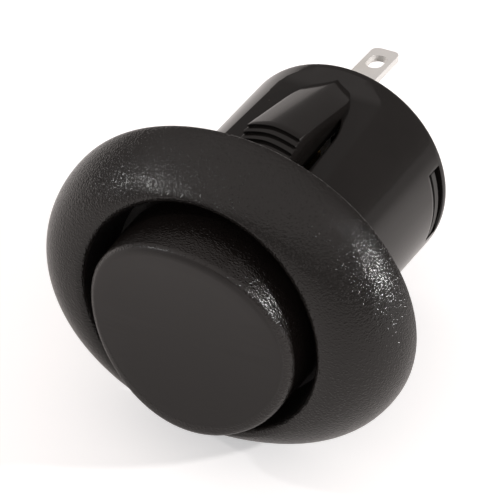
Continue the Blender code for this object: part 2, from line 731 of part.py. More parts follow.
def lug_outline(front, shoulder):
    """(x, y) of a solder tag, seen from above, with its root widened to shoulder."""
    end = TAG_END
    corner = TAG_CORNER
    half = TAG_HALF_WIDTH
    right = arc(half - corner, end - corner, corner, 0, 90, 4)
    left = [(-x, y) for x, y in reversed(right)]
    step = TAG_SHOULDER_END - (shoulder - half)
    return ([(shoulder, front), (shoulder, step), (half, TAG_SHOULDER_END)] + right + left
            + [(-half, TAG_SHOULDER_END), (-shoulder, step), (-shoulder, front)])


def tag_hole():
    """(x, y) of the tag's oblong hole."""
    half = TAG_HOLE_LENGTH / 2 - TAG_HOLE_RADIUS
    middle = TAG_END - TAG_HOLE_FROM_END
    far = arc(0, middle + half, TAG_HOLE_RADIUS, 0, 180, 10)
    near = arc(0, middle - half, TAG_HOLE_RADIUS, 180, 360, 10)
    return list(reversed(far + near))


def contact_world():
    """The blade's rear face at the contact in the closed position, and its outward direction."""
    middle, outward = contact_place()
    turn = Matrix.Rotation(-BLADE_TILT, 3, 'X')
    return Vector((0, BLADE_AXIS_BACK, 0)) + turn @ middle, turn @ outward


def contact_plate_front():
    """Front face of the plate that carries the fixed contact, and the contact's height."""
    place, outward = contact_world()
    tip = place + outward * (RIVET_GAP + CONTACT_HEIGHT)
    return tip.y + FIT_GAP + CONTACT_HEIGHT + RIVET_GAP, tip.z


def make_load_terminal(collection, cutters, material):
    """A tag whose inner end is bent down into a plate behind the moving contact."""
    plate_front, contact_z = contact_plate_front()
    tag = plate("load_terminal", lug_outline(plate_front, TAG_SHOULDER_HALF_WIDTH), TAG_THICK,
                collection, holes=[tag_hole()])
    tag.location.z = LOAD_TAG_TOP - TAG_THICK / 2
    terminal = to_mesh(tag)
    terminal.data.transform(terminal.matrix_world)
    terminal.matrix_world = Matrix.Identity(4)
    terminal.data.materials.append(material)
    leg = box("contact_plate", (-TAG_SHOULDER_HALF_WIDTH, plate_front, LOAD_TAG_TOP - CONTACT_PLATE_DROP),
              (TAG_SHOULDER_HALF_WIDTH, plate_front + TAG_THICK, LOAD_TAG_TOP - 0.5 * TAG_THICK), cutters)
    boolean(terminal, as_cutter(leg), 'UNION')
    hole = rod("fixed_rivet_hole", RIVET_SHANK + SLIDE_GAP, (0, plate_front - MM, contact_z),
               (0, plate_front + TAG_THICK + MM, contact_z), cutters)
    boolean(terminal, as_cutter(hole), 'DIFFERENCE')
    return terminal


def make_line_terminal(collection, material):
    """A flat tag whose inner end is a cradle: an edge for the blade between two horns."""
    edge = BLADE_AXIS_BACK + FIT_GAP
    inner = BLADE_HALF_WIDTH + FIT_GAP
    outer = inner + HORN_WIDTH
    root = edge + CRADLE_DEPTH
    cradle = [(-TAG_SHOULDER_HALF_WIDTH, root + CRADLE_TAPER), (-outer, root), (-outer, edge - HORN_RISE),
              (-inner, edge - HORN_RISE), (-inner, edge), (inner, edge), (inner, edge - HORN_RISE),
              (outer, edge - HORN_RISE), (outer, root), (TAG_SHOULDER_HALF_WIDTH, root + CRADLE_TAPER)]
    lug = lug_outline(root + CRADLE_TAPER, TAG_SHOULDER_HALF_WIDTH)
    tag = plate("line_terminal", cradle + lug[1:-1], TAG_THICK, collection, holes=[tag_hole()])
    terminal = to_mesh(tag)
    terminal.data.materials.append(material)
    return terminal


def make_base_plug(collection, cutters, material):
    rear = TUBE_LENGTH - BASE_RECESS
    radius = CAVITY_RADIUS - SLIDE_GAP
    edge = 0.3 * MM
    profile = [(0.0, BASE_FRONT), (radius - edge, BASE_FRONT), (radius, BASE_FRONT + edge),
               (radius, rear - edge), (radius - edge, rear), (0.0, rear)]
    base = lathe("terminal_base", profile, collection, material)
    flat = cavity_flat(BASE_FRONT) - SLIDE_GAP
    slab = box("base_slab", (-2 * radius, BASE_FRONT - MM, -flat), (2 * radius, rear + MM, flat), cutters)
    boolean(base, as_cutter(slab), 'INTERSECT')
    return base


def make_barbs(cutters):
    """A ring with a ramp in front and a ledge behind, cut to the width of the windows."""
    root = CAVITY_RADIUS - SLIDE_GAP - 1 * MM
    seat = CAVITY_RADIUS - SLIDE_GAP
    rear = WINDOW_REAR - BARB_PLAY
    front = rear - BARB_LENGTH
    sections = []
    for i in range(ROUND_STEPS):
        angle = math.tau * i / ROUND_STEPS
        ring = [(root, front - BARB_RAMP), (seat, front - BARB_RAMP), (BARB_RADIUS, front),
                (BARB_RADIUS, rear), (root, rear)]
        sections.append([(r * math.cos(angle), y, r * math.sin(angle)) for r, y in ring])
    ring = loft("barbs", sections, cutters, closed=True)
    half = WINDOW_HALF - FIT_GAP
    slab = box("barb_slab", (-2 * BARB_RADIUS, 0, -half), (2 * BARB_RADIUS, TUBE_LENGTH, half), cutters)
    boolean(ring, as_cutter(slab), 'INTERSECT')
    return as_cutter(ring)


def make_terminal_base(collection, cutters, material):
    base = make_base_plug(collection, cutters, material)
    front = BASE_FRONT
    overlap = front + POST_ROOT
    shoulder = TAG_SHOULDER_HALF_WIDTH + FIT_GAP
    plate_front, contact_z = contact_plate_front()
    plate_back = plate_front + TAG_THICK + FIT_GAP
    slot_low = LOAD_TAG_TOP - TAG_THICK - FIT_GAP
    load_post = box("load_post", (-shoulder - 0.4 * MM, plate_back + RIVET_UPSET_HEIGHT + RIVET_GAP,
                                  LOAD_TAG_TOP - CONTACT_PLATE_DROP),
                    (shoulder + 0.4 * MM, overlap, slot_low), cutters)
    centre_half = TAG_THICK / 2 + FIT_GAP + POST_WALL
    centre_post = box("centre_post",
                      (-shoulder - POST_WALL, front - CENTRE_POST_REACH + POST_ROOT, -centre_half),
                      (shoulder + POST_WALL, overlap, centre_half), cutters)
    idle_z, idle_front = idle_stop_place()
    idle_stop = box("idle_stop", (-IDLE_STOP_HALF_WIDTH, idle_front, -idle_z - IDLE_STOP_DEPTH / 2),
                    (IDLE_STOP_HALF_WIDTH, overlap, -idle_z + IDLE_STOP_DEPTH / 2), cutters)
    for post in (load_post, centre_post, idle_stop):
        boolean(base, as_cutter(post), 'UNION')
    boolean(base, make_barbs(cutters), 'UNION')
    rear = TUBE_LENGTH + MM
    load_slot = box("load_slot", (-shoulder, front - MM, slot_low),
                    (shoulder, rear, TUBE_REAR_RADIUS), cutters)
    line_slot = box("line_slot", (-shoulder, front - CENTRE_POST_REACH - MM, -TAG_THICK / 2 - FIT_GAP),
                    (shoulder, rear, TAG_THICK / 2 + FIT_GAP), cutters)
    for slot in (load_slot, line_slot):
        boolean(base, as_cutter(slot), 'DIFFERENCE')
    smooth(base)
    return base


def idle_stop_place():
    """Height of the idle stop below the axis, and its front face, just behind the open blade."""
    turn = BLADE_BEND + BLADE_TILT
    arm = CONTACT_ARM
    z = arm * math.cos(turn)
    y = BLADE_AXIS_BACK + (arm + IDLE_STOP_DEPTH / 2) * math.sin(turn) + FIT_GAP
    return z, y


def make_pivot(name, y, tilt):
    empty = bpy.data.objects.new(name, None)
    empty.location = (0, y, 0)
    empty.rotation_euler = (tilt, 0, 0)
    empty.empty_display_size = 5 * MM
    bpy.context.scene.collection.objects.link(empty)
    return empty


def main():
    clear_scene()
    parts = new_collection("rocker_switch")
    cutters = new_collection("cutters")

    moulded_black = make_material("moulded_black", (0.020, 0.019, 0.018), 0.42)
    rocker_black = make_material("rocker_black", (0.024, 0.022, 0.020), 0.55)
    base_black = make_material("base_black", (0.030, 0.029, 0.028), 0.5)
    plunger_white = make_material("plunger_white", (0.75, 0.73, 0.68), 0.4)
    spring_steel = make_material("spring_steel", (0.55, 0.55, 0.56), 0.3, 1.0)
    blade_brass = make_material("blade_brass", (0.72, 0.50, 0.22), 0.3, 1.0)
    tinned_brass = make_material("tinned_brass", (0.78, 0.76, 0.72), 0.32, 1.0)
    contact_silver = make_material("contact_silver", (0.86, 0.85, 0.83), 0.25, 1.0)

    pivot = make_pivot("rocker_pivot", PIVOT_BACK, ROCKER_TILT)
    fulcrum = make_pivot("blade_fulcrum", BLADE_AXIS_BACK, -BLADE_TILT)

    make_housing(parts, cutters, moulded_black)
    make_rocker(parts, cutters, rocker_black, pivot)
    make_plunger(parts, plunger_white, pivot)
    make_plunger_spring(parts, spring_steel, pivot)
    make_blade(parts, cutters, blade_brass, fulcrum)

    place, outward = contact_place()
    moving = make_rivet("moving_contact", place, outward, BLADE_THICK, parts, contact_silver)
    moving.parent = fulcrum
    plate_front, contact_z = contact_plate_front()
    make_rivet("fixed_contact", Vector((0, plate_front, contact_z)), Vector((0, -1, 0)), TAG_THICK,
               parts, contact_silver)

    make_load_terminal(parts, cutters, tinned_brass)
    make_line_terminal(parts, tinned_brass)
    make_terminal_base(parts, cutters, base_black)


main()
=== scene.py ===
import json
import math

import bmesh
import bpy
from mathutils import Matrix, Vector


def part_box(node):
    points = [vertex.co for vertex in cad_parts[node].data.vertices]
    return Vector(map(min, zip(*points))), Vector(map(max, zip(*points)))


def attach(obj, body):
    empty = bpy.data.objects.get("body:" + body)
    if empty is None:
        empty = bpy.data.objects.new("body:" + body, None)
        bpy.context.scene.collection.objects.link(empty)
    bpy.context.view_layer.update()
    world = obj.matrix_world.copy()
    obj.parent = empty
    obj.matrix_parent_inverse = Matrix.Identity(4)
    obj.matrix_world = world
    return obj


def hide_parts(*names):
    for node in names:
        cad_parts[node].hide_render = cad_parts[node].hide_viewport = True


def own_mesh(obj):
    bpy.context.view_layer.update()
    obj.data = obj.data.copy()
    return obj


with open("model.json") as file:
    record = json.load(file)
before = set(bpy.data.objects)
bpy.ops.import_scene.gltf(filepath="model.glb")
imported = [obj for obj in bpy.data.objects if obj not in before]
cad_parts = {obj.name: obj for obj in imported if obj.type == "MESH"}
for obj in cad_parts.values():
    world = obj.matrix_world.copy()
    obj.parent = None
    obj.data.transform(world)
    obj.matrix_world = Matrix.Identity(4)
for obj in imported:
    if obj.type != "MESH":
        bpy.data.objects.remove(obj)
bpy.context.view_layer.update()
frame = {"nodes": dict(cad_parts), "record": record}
mm = 0.001


class Wire:  # a shader socket that takes part in sums
    def __init__(self, nodes, socket):
        self.nodes = nodes
        self.socket = socket

    def calc(self, operation, *values):
        return self.nodes.node("Math", {"operation": operation}, dict(enumerate(values)))

    def __add__(self, other):
        return self.calc("ADD", self, other)

    def __rsub__(self, other):
        return self.calc("SUBTRACT", other, self)

    def __mul__(self, other):
        return self.calc("MULTIPLY", self, other)

    def __pow__(self, other):
        return self.calc("POWER", self, other)

    __radd__ = __add__
    __rmul__ = __mul__

    def larger(self, other):
        return self.calc("MAXIMUM", self, other)

    def ramp(self, low, high, start=0.0, end=1.0):  # eased step from low to high
        inputs = {"Value": self, "From Min": low, "From Max": high, "To Min": start, "To Max": end}
        return self.nodes.node("MapRange", {"interpolation_type": "SMOOTHSTEP"}, inputs, "Result")


def plug(socket, value):  # links a wire, or sets a number or a colour
    if isinstance(value, Wire):
        value.nodes.tree.links.new(value.socket, socket)
    else:
        socket.default_value = value


class Nodes:  # a node tree, and the one way to add to it
    def __init__(self, tree):
        self.tree = tree

    def node(self, kind, settings, inputs, output=0):
        made = self.tree.nodes.new("ShaderNode" + kind)
        for key, value in settings.items():
            setattr(made, key, value)
        for key, value in inputs.items():
            plug(made.inputs[key], value)
        return Wire(self, made.outputs[output])

    def parts(self, vector):  # its x, y and z
        first = self.node("SeparateXYZ", {}, {0: vector})
        return [Wire(self, socket) for socket in first.socket.node.outputs]

    def ray(self, kind):  # 1 for rays of this kind, else 0
        return self.node("LightPath", {}, {}, f"Is {kind} Ray")

    def blend(self, share, first, second):  # colour from first to second
        inputs = {0: share}
        for socket, colour in ((6, first), (7, second)):
            inputs[socket] = colour if isinstance(colour, Wire) else (*colour, 1.0)
        return self.node("Mix", {"data_type": "RGBA"}, inputs, 2)


class Finish(Nodes):  # a procedural material
    def __init__(self, name, **fixed):
        self.material = bpy.data.materials.new(name)
        self.material.use_nodes = True
        super().__init__(self.material.node_tree)
        self.shader = self.tree.nodes["Principled BSDF"]
        self.set(**fixed)
        self.place = self.node("TexCoord", {}, {}, "Object")
        self.x, self.y, self.z = self.parts(self.place)

    def set(self, **values):
        for key, value in values.items():
            plug(self.shader.inputs[key.replace("_", " ")], value)

    def noise(self, scale, detail=2.0, stretch=None, roughness=0.5):
        place = self.place
        if stretch:
            place = self.node("Mapping", {}, {"Vector": place, "Scale": stretch})
        inputs = {"Vector": place, "Scale": scale, "Detail": detail, "Roughness": roughness}
        return self.node("TexNoise", {}, inputs)

    def cells(self, scale):  # distance to the nearest of many scattered points
        return self.node("TexVoronoi", {}, {"Vector": self.place, "Scale": scale}, "Distance")

    def bump(self, height, distance, under=None):
        inputs = {"Height": height, "Distance": distance}
        if under:
            inputs["Normal"] = under
        return self.node("Bump", {}, inputs)

    def fromAxis(self):  # distance from the switch's axis
        return (self.x * self.x + self.z * self.z) ** 0.5

    def grain(self, v):  # moulded grain: waves, and cells with a raised middle
        scale = 1 / v["grainSize"]
        waves = self.noise(scale)
        cells = self.cells(scale).ramp(v["cellEdge"], 0.0)
        return v["grainWaves"] * waves + v["grainCells"] * cells

    def dust(self, v):  # specks that lie in patches
        specks = self.cells(v["dustScale"]).ramp(*v["dustSize"])
        return specks * self.noise(v["patchScale"], detail=1.0).ramp(*v["patchEdge"])

    def dustyColour(self, v, haze, dust):
        colour = self.blend(haze, v["colour"], lighter(v["colour"], v["hazeLighter"]))
        return self.blend(v["dustCover"] * dust, colour, v["dustColour"])


def lighter(colour, factor):
    return tuple(factor * c for c in colour)


# grain and dust of both black plastics
plasticSurface = {
    "grainSize": 0.24 * mm,
    "grainDepth": 0.10 * mm,
    "grainWaves": 0.7,
    "grainCells": 0.3,
    "cellEdge": 0.50,
    "dustCover": 0.5,
    "dustColour": (0.10, 0.095, 0.09),
    "hazeRoughness": 0.05,
}

# plastic of the housing: grained bezel, dull well, polished barrel
mouldedPlastic = {
    **plasticSurface,
    "colour": (0.0056, 0.0048, 0.0044),
    "bezelRoughness": 0.15,
    "barrelRoughness": 0.10,
    "wellRoughness": 0.45,
    "wellRadius": (12.95 * mm, 12.75 * mm),  # where the well's finish starts, and is full
    "bezelEnd": 0.1 * mm,  # the bezel's finish fades out over twice this, at the panel
    "hazeScale": 220.0,
    "hazeLighter": 1.6,
    "waveScale": 900.0,
    "waveStretch": (1.0, 0.12, 1.0),
    "waveDepth": 0.004 * mm,
    "dustScale": 900.0,
    "dustSize": (0.09, 0.04),
    "patchScale": 300.0,
    "patchEdge": (0.62, 0.70),
    "dustRoughness": 0.2,
}


def makeMouldedPlastic():
    v = mouldedPlastic
    f = Finish("mouldedBlack", IOR=1.44)
    bezel = f.y.ramp(v["bezelEnd"], -v["bezelEnd"])
    well = bezel * f.fromAxis().ramp(*v["wellRadius"])
    haze = f.noise(v["hazeScale"], detail=3.0)
    waves = f.noise(v["waveScale"], stretch=v["waveStretch"])
    dust = f.dust(v)
    barrelRough = v["barrelRoughness"] + v["hazeRoughness"] * haze
    rough = bezel * v["bezelRoughness"] + (1 - bezel) * barrelRough + v["dustRoughness"] * dust
    rough = rough + well * (v["wellRoughness"] - v["bezelRoughness"])
    fine = f.bump(f.grain(v) * bezel, v["grainDepth"])
    normal = f.bump(waves * (1 - bezel), v["waveDepth"], fine)
    f.set(Base_Color=f.dustyColour(v, haze, dust), Roughness=rough, Normal=normal)
    return f.material


# plastic of the rocker: satin face, grained wall
rockerPlastic = {
    **plasticSurface,
    "colour": (0.0062, 0.0050, 0.0046),
    "faceRadius": 10.25 * mm,  # the wall's finish starts here, on the rim
    "faceBlend": 0.3 * mm,
    "faceRoughness": 0.46,
    "wallRoughness": 0.15,
    "hazeScale": 160.0,
    "hazeLighter": 1.5,
    "satinScale": 9000.0,
    "satinDepth": 0.001 * mm,
    "dustScale": 700.0,
    "dustSize": (0.08, 0.03),
    "patchScale": 260.0,
    "patchEdge": (0.66, 0.74),
}


def makeRockerPlastic():
    v = rockerPlastic
    f = Finish("rockerBlack", IOR=1.47)
    face = f.fromAxis().ramp(v["faceRadius"] + v["faceBlend"], v["faceRadius"])
    satin = f.noise(v["satinScale"])
    haze = f.noise(v["hazeScale"], detail=3.0)
    rough = face * v["faceRoughness"] + (1 - face) * v["wallRoughness"] + v["hazeRoughness"] * haze
    fine = f.bump(f.grain(v) * (1 - face), v["grainDepth"])
    normal = f.bump(satin * face, v["satinDepth"], fine)
    f.set(Base_Color=f.dustyColour(v, haze, f.dust(v)), Roughness=rough, Normal=normal)
    return f.material


# dull tin over brass, for the two tags
tinnedBrass = {
    "colour": (0.86, 0.85, 0.83),
    "tarnish": (0.62, 0.60, 0.55),
    "metallic": 0.55,
    "roughness": 0.42,
    "mottleScale": 700.0,
    "mottleColour": 0.2,
    "mottleRoughness": 0.16,
    "mottleDepth": 0.006 * mm,
    "stainScale": 240.0,
    "stainEdge": (0.45, 0.75),
    "stainColour": 0.40,
    "stainRoughness": 0.10,
    "rolledScale": 2600.0,
    "rolledStretch": (1.0, 0.06, 1.0),
    "rolledDepth": 0.004 * mm,
}


def makeTinnedBrass():
    v = tinnedBrass
    f = Finish("tinnedBrass", Metallic=v["metallic"])
    mottle = f.noise(v["mottleScale"], detail=4.0, roughness=0.6)
    rolled = f.noise(v["rolledScale"], stretch=v["rolledStretch"])
    stain = f.noise(v["stainScale"], detail=3.0).ramp(*v["stainEdge"])
    colour = f.blend(v["stainColour"] * stain + v["mottleColour"] * mottle, v["colour"], v["tarnish"])
    rough = v["roughness"] + v["mottleRoughness"] * mottle + v["stainRoughness"] * stain
    low = f.bump(rolled, v["rolledDepth"])
    f.set(Base_Color=colour, Roughness=rough, Normal=f.bump(mottle, v["mottleDepth"], low))
    return f.material


# metals inside the switch, which share their rolling lines and stains
springSteel = {"colour": (0.52, 0.52, 0.53), "dark": (0.30, 0.30, 0.31), "roughness": 0.24}
bladeBrass = {"colour": (0.62, 0.45, 0.20), "dark": (0.38, 0.25, 0.10), "roughness": 0.27}
contactSilver = {"colour": (0.72, 0.71, 0.68), "dark": (0.45, 0.43, 0.39), "roughness": 0.22}
metalSurface = {
    "rolledScale": 3000.0,
    "rolledStretch": (0.08, 1.0, 1.0),
    "rolledRoughness": 0.08,
    "rolledDepth": 0.003 * mm,
    "stainScale": 500.0,
    "stainEdge": (0.4, 0.75),
    "stainColour": 0.6,
    "stainRoughness": 0.15,
}


def makeMetal(name, metal):
    v = metalSurface
    f = Finish(name, Metallic=1.0)
    rolled = f.noise(v["rolledScale"], stretch=v["rolledStretch"])
    stain = f.noise(v["stainScale"], detail=3.0).ramp(*v["stainEdge"])
    colour = f.blend(v["stainColour"] * stain, metal["colour"], metal["dark"])
    rough = metal["roughness"] + v["stainRoughness"] * stain + v["rolledRoughness"] * rolled
    f.set(Base_Color=colour, Roughness=rough, Normal=f.bump(rolled, v["rolledDepth"]))
    return f.material


# plain plastics of the base and the plunger
basePlastic = {"colour": (0.008, 0.0075, 0.007), "roughness": 0.38, "grainSize": 0.22 * mm}
plungerPlastic = {"colour": (0.62, 0.60, 0.55), "roughness": 0.35, "grainSize": 0.3 * mm}
plainSurface = {"hazeScale": 300.0, "hazeLighter": 1.35, "hazeRoughness": 0.12, "grainDepth": 0.008 * mm}


def makePlastic(name, plastic):
    v = plainSurface
    f = Finish(name, IOR=1.5)
    haze = f.noise(v["hazeScale"], detail=3.0)
    grain = f.noise(1 / plastic["grainSize"], detail=3.0)
    colour = f.blend(haze, plastic["colour"], lighter(plastic["colour"], v["hazeLighter"]))
    rough = plastic["roughness"] + v["hazeRoughness"] * haze
    f.set(Base_Color=colour, Roughness=rough, Normal=f.bump(grain, v["grainDepth"]))
    return f.material


print("finishes")
finishes = {
    "moulded_black": makeMouldedPlastic(),
    "rocker_black": makeRockerPlastic(),
    "base_black": makePlastic("baseBlack", basePlastic),
    "plunger_white": makePlastic("plungerWhite", plungerPlastic),
    "spring_steel": makeMetal("springSteel", springSteel),
    "blade_brass": makeMetal("bladeBrass", bladeBrass),
    "tinned_brass": makeTinnedBrass(),
    "contact_silver": makeMetal("contactSilver", contactSilver),
}
slots = {
    "housing": "moulded_black",
    "rocker": "rocker_black",
    "terminal_base": "base_black",
    "plunger": "plunger_white",
    "plunger_spring": "spring_steel",
    "contact_blade": "blade_brass",
    "moving_contact": "contact_silver",
    "fixed_contact": "contact_silver",
    "load_terminal": "tinned_brass",
    "line_terminal": "tinned_brass",
}
bodyOf = {node: body for body, nodes in frame["record"]["behaviour"]["bodies"].items() for node in nodes}


def makeObject(name, bm, slotName, sharpAngle):  # a smooth object with sharp edges past an angle in degrees
    mesh = bpy.data.meshes.new(name)
    bm.to_mesh(mesh)
    bm.free()
    piece = bpy.data.objects.new(name, mesh)
    bpy.context.scene.collection.objects.link(piece)
    mesh.shade_smooth()
    mesh.set_sharp_from_angle(angle=math.radians(sharpAngle))
    mesh.materials.append(finishes[slotName])
    return piece


# copies of the CAD's nodes: their triangles are joined, and their edges may be rounded
copyRules = {
    "weld": 1e-6,
    "sameFace": 0.3,  # degrees between triangles that become one face
    "sharp": 30.0,  # degrees between faces whose edge is rounded
    "segments": 2,
}


def softened(node, name, edge):
    v = copyRules
    bm = bmesh.new()
    bm.from_mesh(frame["nodes"][node].data)
    bmesh.ops.remove_doubles(bm, verts=bm.verts, dist=v["weld"])
    bmesh.ops.dissolve_limit(bm, angle_limit=math.radians(v["sameFace"]), verts=bm.verts, edges=bm.edges)
    bmesh.ops.recalc_face_normals(bm, faces=bm.faces)
    piece = makeObject(name, bm, slots[node], v["sharp"])
    if edge:
        bevel = piece.modifiers.new("edge", "BEVEL")
        bevel.width = edge
        bevel.segments = v["segments"]
        bevel.limit_method = "ANGLE"
        bevel.angle_limit = math.radians(v["sharp"])
        bevel.harden_normals = True
    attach(piece, bodyOf[node])
    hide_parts(node)
    return piece


def roundEdges(bm, edges, width):
    bmesh.ops.bevel(bm, geom=edges, offset=width, segments=2, profile=0.5, affect="EDGES", material=-1,
                    clamp_overlap=True)


def quarter(step, steps):  # a share of a quarter turn
    return math.radians(90 * step / steps)


# oval domed bezel, well and barrel in one moulding, in millimetres
housingShape = {
    "halfWidth": 20.1,
    "halfHeight": 17.5,
    "rise": 7.05,
    "riseSwing": 0.4,  # higher at the sides by this, and lower at top and foot
    "fullness": 1.6,
    "fullnessSwing": 0.4,
    "edge": 0.5,
    "edgeRound": 0.25,
    "crest": 13.6,
    "lipRoll": 0.85,
    "wellFloor": 12.2,
    "wellFloorThick": 1.4,
    "coring": (0.385, 0.71, 3.4),  # inner share, outer share, depth
    "coringFloor": 0.8,  # share of the coring that is flat at its bottom
    "tubeFront": 11.65,
    "tubeRear": 12.3,
    "length": 24.5,
    "rimRound": 0.3,
    "cavity": 10.3,
    "cavityMouth": 0.1,  # bevel at its rear
    "wallMiddle": 11.0,  # radius between the wall's inside and outside
    "flat": 9.5,
    "flatSlope": 0.058,
    "flatEnd": 20.9,
    "flatRunOut": 2.8,
    "flatLift": 0.1,  # height over the barrel at the end of the run-out
    "flatCurve": 2.2,
    "flatWall": 1.2,
    "slotHalf": (4.2, 4.0, 3.1),  # at its front, where it starts to close, at its rear
    "slotClose": 14.0,
    "slotCurve": 1.6,
    "slotFront": 1.6,
    "slotRear": 17.5,
    "slotLand": 0.6,  # least width of the flat beside the slot
    "windowHalf": 4.1,
    "windowEnds": (21.3, 23.6),  # front, rear
    "socket": (1.28, 1.6),  # radius, place along the barrel
    "socketReach": 0.7,  # its faces lie within this along the barrel
    "edgeSoft": 0.10,
    "edgeAngle": 30.0,
    "edgeFrom": (0.5, 9.45),  # least y and radius of an edge that is rounded
    "socketEdges": (4.0, 2.0),  # the edges inside this y and z belong to a socket and stay sharp
    "sharp": 32.0,
    "columns": (16, 28, 8, 12),  # window, round, flat, slot, in one quarter
    "lipRings": 9,
    "domeRings": 22,
    "edgeRings": 4,
    "rimRings": 4,
    "ringStep": 0.8,
    "spunFrom": (20.0, 0.1),  # radius and step of the chain before its rings are placed
    "weld": 1e-4,
}


def housingPiece(name, bm):  # from a bm in millimetres
    bmesh.ops.recalc_face_normals(bm, faces=bm.faces)
    bmesh.ops.scale(bm, vec=(mm, mm, mm), verts=bm.verts)
    piece = makeObject(name, bm, "moulded_black", housingShape["sharp"])
    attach(piece, "case")
    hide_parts("housing")
    return piece


def barrelRadius(y):
    v = housingShape
    return v["tubeFront"] + (v["tubeRear"] - v["tubeFront"]) * max(y, 0.0) / v["length"]


def flatHeight(y, inner=False):
    v = housingShape
    height = v["flat"] + v["flatSlope"] * y
    if inner:
        return height - v["flatWall"]
    past = max(y - v["flatEnd"], 0.0) / v["flatRunOut"]
    end = v["flat"] + v["flatSlope"] * (v["flatEnd"] + v["flatRunOut"])
    return height + (v["tubeRear"] + v["flatLift"] - end) * past ** v["flatCurve"]


def slotWidth(y):  # half of it; the slots beside the clips widen to the front
    v = housingShape
    front, close, rear = v["slotHalf"]
    if y < v["slotClose"]:
        return front + (close - front) * max(y - v["slotFront"], 0.0) / (v["slotClose"] - v["slotFront"])
    share = min((y - v["slotClose"]) / (v["slotRear"] - v["slotClose"]), 1.0)
    return close + (rear - close) * share ** v["slotCurve"]


def columnPlace(index, radius, flat, slotHalf):  # x and z of a column of the barrel's wall
    v = housingShape
    window, wall, side, slot = v["columns"]
    inQuarter = window + wall + side + slot
    half = index % (2 * inQuarter)
    j = half if half <= inQuarter else 2 * inQuarter - half
    windowTurn = math.asin(v["windowHalf"] / radius)
    edgeX = max(math.sqrt(max(radius ** 2 - flat ** 2, 0.0)), slotHalf + v["slotLand"])
    edgeTurn = math.acos(edgeX / radius)
    past = j - window - wall
    if past <= 0:  # on the round wall
        if j <= window:
            turn = windowTurn * j / window
        else:
            turn = windowTurn + (edgeTurn - windowTurn) * (j - window) / wall
        x, z = radius * math.cos(turn), radius * math.sin(turn)
    else:
        if past <= side:
            x = edgeX + (slotHalf - edgeX) * past / side
        else:
            x = slotHalf * (1 - (past - side) / slot)
        z = min(flat, math.sqrt(max(radius ** 2 - x ** 2, 0.0)))
    return (-x if inQuarter < index < 3 * inQuarter else x), (-z if index > 2 * inQuarter else z)


def outline(angle):  # the bezel's oval
    a, b = housingShape["halfWidth"], housingShape["halfHeight"]
    return a * b / math.hypot(b * math.cos(angle), a * math.sin(angle))


def domePlace(turn, angle):  # distance from the axis, and y, on the bezel's dome
    v = housingShape
    swing = math.cos(2 * angle)
    rise = v["rise"] + v["riseSwing"] * swing
    power = 2 / (v["fullness"] + v["fullnessSwing"] * swing)
    radius = v["crest"] + (outline(angle) - v["crest"]) * math.sin(turn) ** power
    return radius, -v["edge"] - (rise - v["edge"]) * max(math.cos(turn), 0.0) ** power


def bezelSection(angle):  # (radius, y) from the well's floor over the lip and the dome to the coring
    v = housingShape
    rim, roll, soft, under = outline(angle), v["lipRoll"], v["edgeRound"], v["tubeFront"]
    inner, outer, depth = v["coring"]
    floor = inner + v["coringFloor"] * (outer - inner)
    crestY = domePlace(0.0, angle)[1]
    section = [(v["wellFloor"], -v["wellFloorThick"])]
    for i in range(v["lipRings"]):
        turn = quarter(i, v["lipRings"])
        section.append((v["crest"] - roll * math.cos(turn), crestY + roll * (1 - math.sin(turn))))
    for i in range(v["domeRings"] + 1):
        section.append(domePlace(quarter(i, v["domeRings"]), angle))
    for i in range(v["edgeRings"] + 1):
        turn = quarter(i, v["edgeRings"])
        section.append((rim - soft * (1 - math.cos(turn)), -soft * (1 - math.sin(turn))))
    for share, y in ((outer, 0.0), (floor, -depth), (inner, -depth), (inner, 0.0)):
        section.append((under + share * (rim - under), y))
    return section


def barrelRings():  # (y, radius, on the inside) down the outside and back up the inside
    v = housingShape
    rim, end, mouth, cavity = v["rimRound"], v["length"], v["cavityMouth"], v["cavity"]
    marks = [0.0, v["slotFront"], v["slotRear"], v["flatEnd"], *v["windowEnds"], end - rim]
    places = [marks[0]]
    for low, high in zip(marks, marks[1:]):
        steps = max(1, round((high - low) / v["ringStep"]))
        places += [low + (high - low) * (i + 1) / steps for i in range(steps)]
    rings = [(y, barrelRadius(y), False) for y in places]
    for i in range(1, v["rimRings"] + 1):
        turn = quarter(i, v["rimRings"])
        radius = barrelRadius(end) - rim * (1 - math.cos(turn))
        rings.append((end - rim * (1 - math.sin(turn)), radius, False))
    rings += [(end, cavity + mouth, True), (end - mouth, cavity, True)]
    rings += [(y, cavity, True) for y in reversed(places[:-1])]
    rings.append((-v["wellFloorThick"], cavity, True))
    return rings


def spinRings(rings, columns):  # a closed skin, whose vertices know their ring
    v = housingShape
    radius, step = v["spunFrom"]
    bm = bmesh.new()
    layer = bm.verts.layers.int.new("ring")
    chain = []
    for i in range(rings):
        vert = bm.verts.new((radius, step * i, 0.0))
        vert[layer] = i
        chain.append(vert)
    edges = [bm.edges.new(pair) for pair in zip(chain, chain[1:] + chain[:1])]
    bmesh.ops.spin(bm, geom=chain + edges, cent=(0, 0, 0), axis=(0, -1, 0), angle=math.tau,
                   steps=columns, use_merge=True, use_duplicate=False)
    bmesh.ops.remove_doubles(bm, verts=bm.verts, dist=v["weld"])
    return bm, layer


def openingAt(place):  # the opening that a face of the barrel lies in, if any
    v = housingShape
    windowFront, windowRear = v["windowEnds"]
    socketRadius, socketPlace = v["socket"]
    side = "right" if place.x > 0 else "left"
    if abs(place.x) < slotWidth(place.y) and v["slotFront"] < place.y < v["slotRear"]:
        return "top slot" if place.z > 0 else "foot slot"
    if abs(place.z) < v["windowHalf"] and windowFront < place.y < windowRear:
        return side + " window"
    if abs(place.z) < socketRadius and abs(place.y - socketPlace) < v["socketReach"]:
        return side + " socket"
    return None


